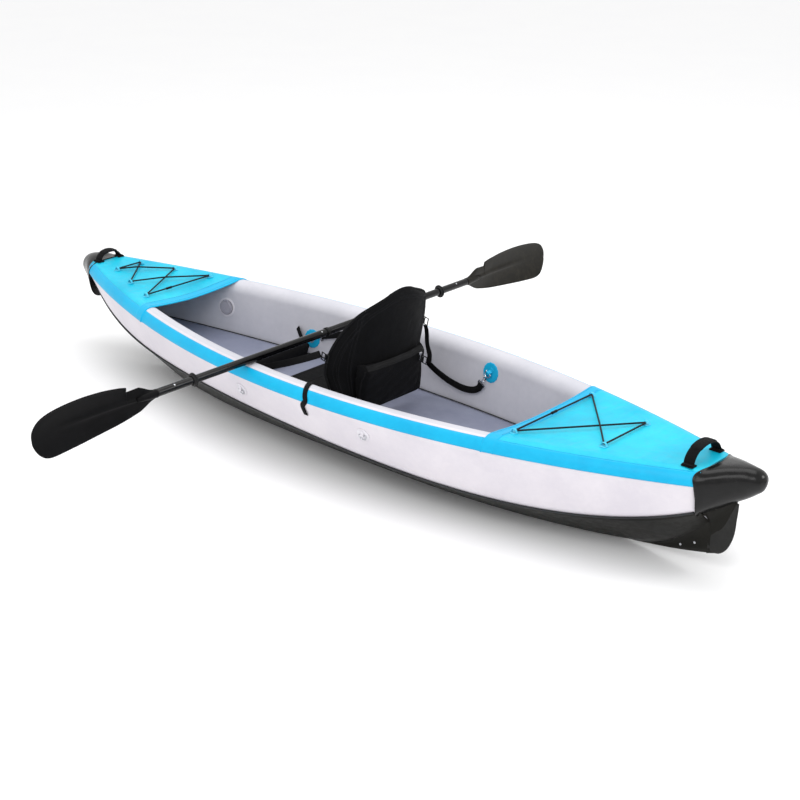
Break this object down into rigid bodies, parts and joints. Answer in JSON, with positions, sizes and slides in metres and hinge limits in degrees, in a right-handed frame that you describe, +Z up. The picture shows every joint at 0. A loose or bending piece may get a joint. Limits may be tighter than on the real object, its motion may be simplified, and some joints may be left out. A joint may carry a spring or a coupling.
{
  "type": "inflatable kayak",
  "caption": "Open-cockpit inflatable kayak with drop-stitch side walls and floor, laced spray decks, end caps, fin, folding seat, foot rest and a take-apart paddle.",
  "frame": {"origin": "middle of the flat hull bottom, at half the overall length", "axes": "+X towards the bow, +Y to port, +Z up"},
  "size_m": [3.25, 2.5792, 0.6202],
  "materials": {
    "light_fabric": "satin coated fabric",
    "floor_fabric": "satin coated fabric",
    "bottom_fabric": "satin coated fabric",
    "blue_fabric": "satin coated fabric",
    "cap_rubber": "semi-gloss moulded",
    "fin_plastic": "satin moulded",
    "steel": "polished",
    "cord": "braided",
    "webbing": "woven",
    "valve_plastic": "satin moulded",
    "seat_fabric": "woven, padded",
    "paddle_plastic": "satin moulded",
    "shaft": "satin anodised black",
    "aluminium": "brushed",
    "ring_rubber": "matte"
  },
  "bodies": {
    "hull": {"side_chamber_port": "light_fabric", "side_chamber_starboard": "light_fabric", "floor_chamber": "floor_fabric", "hull_skin": "bottom_fabric", "gunwale_stripes": "blue_fabric", "bow_deck": "blue_fabric", "stern_deck": "blue_fabric", "bow_cap": "cap_rubber", "stern_cap": "cap_rubber", "keel_fairing": "fin_plastic", "fairing_screws": "steel", "skeg_fin": "fin_plastic", "deck_loops": "blue_fabric", "bow_bungee": "cord", "stern_bungee": "cord", "handle_tabs": "webbing", "bow_handle": "webbing", "stern_handle": "webbing", "inner_ring_patches": "blue_fabric", "inner_rings": "steel", "outer_ring_patches": "light_fabric", "valve_bodies": "valve_plastic", "valve_springs": "steel", "footrest_webbing": "webbing", "seat_cushion": "seat_fabric", "rear_straps": "webbing", "front_straps": "webbing", "snap_hooks": "steel"},
    "outer_ring_port_fore": {"outer_ring_port_fore": "steel"},
    "outer_ring_port_aft": {"outer_ring_port_aft": "steel"},
    "gate_port_rear": {"gate_port_rear": "steel"},
    "gate_port_front": {"gate_port_front": "steel"},
    "outer_ring_starboard_fore": {"outer_ring_starboard_fore": "steel"},
    "outer_ring_starboard_aft": {"outer_ring_starboard_aft": "steel"},
    "gate_starboard_rear": {"gate_starboard_rear": "steel"},
    "gate_starboard_front": {"gate_starboard_front": "steel"},
    "port_valve_cap": {"port_valve_cap": "valve_plastic"},
    "port_valve_stem": {"port_valve_stem": "valve_plastic"},
    "starboard_valve_cap": {"starboard_valve_cap": "valve_plastic"},
    "starboard_valve_stem": {"starboard_valve_stem": "valve_plastic"},
    "floor_valve_cap": {"floor_valve_cap": "valve_plastic"},
    "floor_valve_stem": {"floor_valve_stem": "valve_plastic"},
    "backrest": {"backrest_pad": "seat_fabric", "backrest_binding": "webbing", "backrest_pocket": "seat_fabric", "seat_buckles": "steel"},
    "zip_pull": {"zip_slider": "steel"},
    "footrest": {"footrest_roll": "seat_fabric"},
    "paddle": {"paddle_shaft_port": "shaft", "paddle_shaft_starboard": "shaft", "paddle_ferrule": "aluminium", "paddle_blade_port": "paddle_plastic", "paddle_blade_starboard": "paddle_plastic", "button_springs": "steel"},
    "drip_ring_port": {"drip_ring_port": "ring_rubber"},
    "drip_ring_starboard": {"drip_ring_starboard": "ring_rubber"},
    "centre_button": {"centre_button": "steel"},
    "port_blade_button": {"port_blade_button": "steel"},
    "starboard_blade_button": {"starboard_blade_button": "steel"}
  },
  "joints": [
    {"name": "outer_ring_port_fore_swing", "type": "hinge", "parent": "hull", "child": "outer_ring_port_fore", "pos_m": [0.26549, 0.36711, 0.22709], "axis": [0.997, -0.0776, 0], "range_deg": [0, 150]},
    {"name": "outer_ring_port_aft_swing", "type": "hinge", "parent": "hull", "child": "outer_ring_port_aft", "pos_m": [-0.33055, 0.36584, 0.22748], "axis": [0.9965, 0.0837, 0], "range_deg": [0, 150]},
    {"name": "gate_port_rear_open", "type": "hinge", "parent": "hull", "child": "gate_port_rear", "pos_m": [-0.32529, 0.25558, 0.23755], "axis": [-0.8718, -0.159, -0.4634], "range_deg": [0, 22], "stiffness_Nm_per_rad": 0.01},
    {"name": "gate_port_front_open", "type": "hinge", "parent": "hull", "child": "gate_port_front", "pos_m": [0.49354, 0.23121, 0.20292], "axis": [0.3907, 0.0863, 0.9165], "range_deg": [0, 22], "stiffness_Nm_per_rad": 0.01},
    {"name": "outer_ring_starboard_fore_swing", "type": "hinge", "parent": "hull", "child": "outer_ring_starboard_fore", "pos_m": [0.26549, -0.36711, 0.22709], "axis": [-0.997, -0.0776, 0], "range_deg": [0, 150]},
    {"name": "outer_ring_starboard_aft_swing", "type": "hinge", "parent": "hull", "child": "outer_ring_starboard_aft", "pos_m": [-0.33055, -0.36584, 0.22748], "axis": [-0.9965, 0.0837, 0], "range_deg": [0, 150]},
    {"name": "gate_starboard_rear_open", "type": "hinge", "parent": "hull", "child": "gate_starboard_rear", "pos_m": [-0.32529, -0.25558, 0.23755], "axis": [0.8718, -0.159, 0.4634], "range_deg": [0, 22], "stiffness_Nm_per_rad": 0.01},
    {"name": "gate_starboard_front_open", "type": "hinge", "parent": "hull", "child": "gate_starboard_front", "pos_m": [0.49354, -0.23121, 0.20292], "axis": [-0.3907, 0.0863, -0.9165], "range_deg": [0, 22], "stiffness_Nm_per_rad": 0.01},
    {"name": "port_valve_cap_flip", "type": "hinge", "parent": "hull", "child": "port_valve_cap", "pos_m": [0.94411, 0.16673, 0.26561], "axis": [-0.9685, 0.2488, 0], "range_deg": [0, 150]},
    {"name": "port_valve_press", "type": "slide", "parent": "hull", "child": "port_valve_stem", "axis": [0.2471, 0.9618, -0.118], "range_m": [0, 0.005], "stiffness_N_per_m": 400, "deforming": ["valve_springs"]},
    {"name": "starboard_valve_cap_flip", "type": "hinge", "parent": "hull", "child": "starboard_valve_cap", "pos_m": [0.94411, -0.16673, 0.26561], "axis": [0.9685, 0.2488, 0], "range_deg": [0, 150]},
    {"name": "starboard_valve_press", "type": "slide", "parent": "hull", "child": "starboard_valve_stem", "axis": [0.2471, -0.9618, -0.118], "range_m": [0, 0.005], "stiffness_N_per_m": 400, "deforming": ["valve_springs"]},
    {"name": "floor_valve_cap_flip", "type": "hinge", "parent": "hull", "child": "floor_valve_cap", "pos_m": [1.0396, 0.027, 0.15907], "axis": [-0.9983, 0, -0.0581], "range_deg": [0, 150]},
    {"name": "floor_valve_press", "type": "slide", "parent": "hull", "child": "floor_valve_stem", "axis": [0.0581, 0, -0.9983], "range_m": [0, 0.005], "stiffness_N_per_m": 400, "deforming": ["valve_springs"]},
    {"name": "backrest_fold", "type": "hinge", "parent": "hull", "child": "backrest", "pos_m": [-0.07, 0, 0.15], "axis": [0, 1, 0], "range_deg": [-12, 50], "deforming": ["rear_straps", "front_straps"]},
    {"name": "zip_slide", "type": "slide", "parent": "backrest", "child": "zip_pull", "axis": [0, 1, 0], "range_m": [0, 0.22]},
    {"name": "footrest_turn", "type": "hinge", "parent": "hull", "child": "footrest", "pos_m": [0.528, 0, 0.165], "axis": [0, 1, 0], "range_deg": [-90, 90]},
    {"name": "paddle_lift", "type": "slide", "parent": "hull", "child": "paddle", "axis": [0, 0, 1], "range_m": [0, 0.6]},
    {"name": "drip_ring_port_slide", "type": "slide", "parent": "paddle", "child": "drip_ring_port", "axis": [0, 1, 0], "range_m": [-0.1, 0.05]},
    {"name": "drip_ring_starboard_slide", "type": "slide", "parent": "paddle", "child": "drip_ring_starboard", "axis": [0, -1, 0], "range_m": [-0.1, 0.05]},
    {"name": "centre_button_press", "type": "slide", "parent": "paddle", "child": "centre_button", "axis": [0.6428, 0, -0.766], "range_m": [0, 0.003], "stiffness_N_per_m": 600, "deforming": ["button_springs"]},
    {"name": "port_blade_button_press", "type": "slide", "parent": "paddle", "child": "port_blade_button", "axis": [0.6428, 0, -0.766], "range_m": [0, 0.003], "stiffness_N_per_m": 600, "deforming": ["button_springs"]},
    {"name": "starboard_blade_button_press", "type": "slide", "parent": "paddle", "child": "starboard_blade_button", "axis": [0.6428, 0, -0.766], "range_m": [0, 0.003], "stiffness_N_per_m": 600, "deforming": ["button_springs"]}
  ]
}
